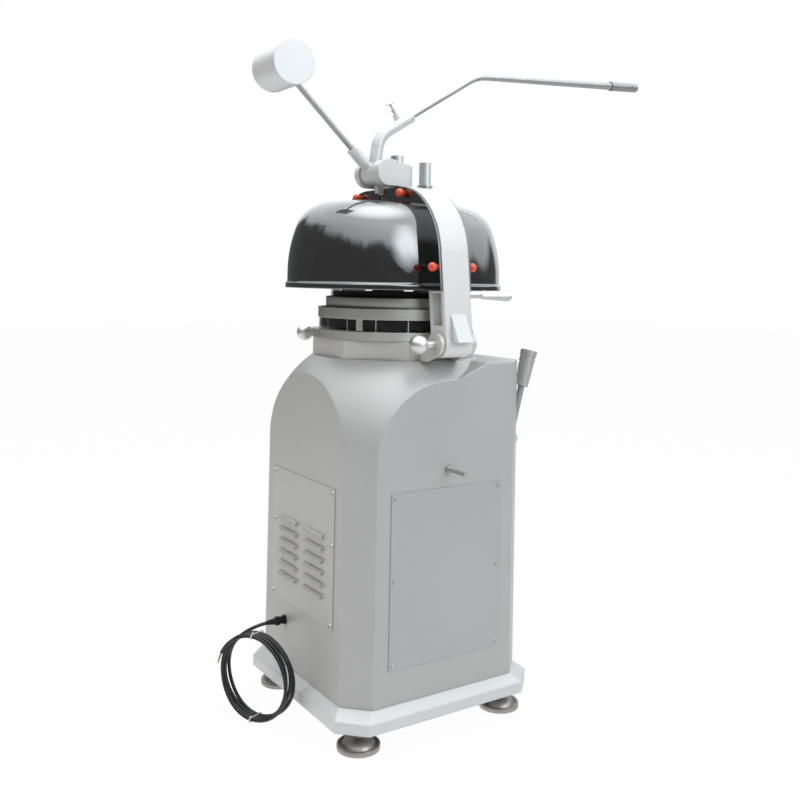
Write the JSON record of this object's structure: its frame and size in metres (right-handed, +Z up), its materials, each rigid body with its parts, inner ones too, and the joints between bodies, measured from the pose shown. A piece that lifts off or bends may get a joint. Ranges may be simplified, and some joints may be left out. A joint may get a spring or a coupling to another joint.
{
  "type": "divider rounder",
  "caption": "Bakery divider rounder: a lever-worked press head with a knife lattice above an orbiting moulding plate, on a square cabinet with levelling feet.",
  "frame": {"origin": "floor level on the upright axis of the machine, midway between the four feet", "axes": "+Z up, -Y towards the operator, +X to the operator's right"},
  "size_m": [0.6793, 1.369, 1.8019],
  "materials": {
    "body_paint": "satin metallic paint",
    "cast_silver": "smooth silver-painted casting",
    "neck_paint": "satin metallic paint",
    "weight_paint": "satin silver paint",
    "turned_aluminium": "fine turned",
    "steel": "brushed",
    "bright": "polished",
    "blades": "ground",
    "cover_black": "high gloss",
    "black_plastic": "smooth matte",
    "red_plastic": "glossy",
    "green_plastic": "glossy",
    "white_plastic": "smooth",
    "black_rubber": "matte",
    "dark_iron": "painted casting"
  },
  "bodies": {
    "base": {"plinth": "body_paint", "cabinet_shell": "body_paint", "levelling_feet": "steel", "foot_nuts": "steel", "left_panel": "body_paint", "right_panel": "body_paint", "rear_panel": "body_paint", "panel_screws": "steel", "tension_stud": "steel", "tension_nut": "steel", "tension_block": "dark_iron", "neck": "neck_paint", "bearing_housing": "dark_iron", "drive_belt": "black_rubber", "motor_plate": "dark_iron", "motor": "dark_iron", "lever_lug": "cast_silver", "switch_box": "black_plastic", "cable_gland": "black_plastic", "power_cord": "black_rubber", "cord_ties": "white_plastic"},
    "gantry": {"gantry": "cast_silver", "guide_bushes": "steel", "hinge_pin": "steel", "rear_cover": "cover_black", "front_cover": "cover_black", "cover_knobs": "red_plastic", "latch_screw": "steel", "bearing_blocks": "cast_silver"},
    "press_lever": {"lever_hub": "cast_silver", "lever_shaft": "steel", "rod_sleeve": "cast_silver", "thumb_screw": "steel", "handle_rod": "steel", "end_sleeve": "steel", "weight_arm": "steel", "counterweight": "weight_paint"},
    "press_head": {"knives": "blades", "plungers": "black_plastic", "chamber_ring": "turned_aluminium", "distance_stops": "turned_aluminium", "press_plate": "turned_aluminium", "head_carrier": "black_plastic", "head_screws": "steel", "rack": "steel", "guide_posts": "steel"},
    "latch": {"latch_lever": "cast_silver"},
    "lock": {"lock_pin": "bright", "lock_ball": "bright"},
    "rounding_lever": {"rounding_lever": "steel", "rounding_grip": "bright"},
    "drive_shaft": {"main_shaft": "steel", "driven_pulley": "dark_iron"},
    "table": {"rounding_table": "turned_aluminium", "moulding_plate": "white_plastic"},
    "motor_rotor": {"motor_pulley": "dark_iron"},
    "start_button": {"start_button": "green_plastic"},
    "stop_button": {"stop_button": "red_plastic"}
  },
  "joints": [
    {"name": "head_tilt", "type": "hinge", "parent": "base", "child": "gantry", "pos_m": [0.276, 0, 0.973], "axis": [0, 1, 0], "range_deg": [0, 80]},
    {"name": "press_lever", "type": "hinge", "parent": "gantry", "child": "press_lever", "pos_m": [0, 0.076, 1.418], "axis": [-1, 0, 0], "range_deg": [0, 45]},
    {"name": "press_slide", "type": "slide", "parent": "gantry", "child": "press_head", "axis": [0, 0, 1], "range_m": [0, 0.0456]},
    {"name": "latch_swing", "type": "hinge", "parent": "gantry", "child": "latch", "pos_m": [-0.2469, -0.056, 1.095], "axis": [0, 0, 1], "range_deg": [-20, 20]},
    {"name": "lock_push", "type": "slide", "parent": "base", "child": "lock", "axis": [0, 1, 0], "range_m": [-0.012, 0]},
    {"name": "rounding_swing", "type": "hinge", "parent": "base", "child": "rounding_lever", "pos_m": [-0.165, -0.284, 0.7], "axis": [1, 0, 0], "range_deg": [-8, 30]},
    {"name": "main_spin", "type": "hinge", "parent": "base", "child": "drive_shaft", "pos_m": [0, 0, 0.8], "axis": [0, 0, 1], "continuous": true},
    {"name": "table_orbit", "type": "hinge", "parent": "drive_shaft", "child": "table", "pos_m": [0.006, 0, 0.96], "axis": [0, 0, 1], "continuous": true},
    {"name": "motor_spin", "type": "hinge", "parent": "base", "child": "motor_rotor", "pos_m": [0, 0.156, 0.6], "axis": [0, 0, 1], "continuous": true},
    {"name": "start_press", "type": "slide", "parent": "base", "child": "start_button", "axis": [0, 1, 0], "range_m": [0, 0.004], "stiffness_N_per_m": 400},
    {"name": "stop_press", "type": "slide", "parent": "base", "child": "stop_button", "axis": [0, 1, 0], "range_m": [0, 0.004], "stiffness_N_per_m": 400}
  ],
  "couplings": [
    {"joint": "press_slide", "follows": "press_lever", "m_per_rad": 0.058},
    {"joint": "table_orbit", "follows": "main_spin", "ratio": -1},
    {"joint": "motor_spin", "follows": "main_spin", "ratio": 2.9484}
  ]
}
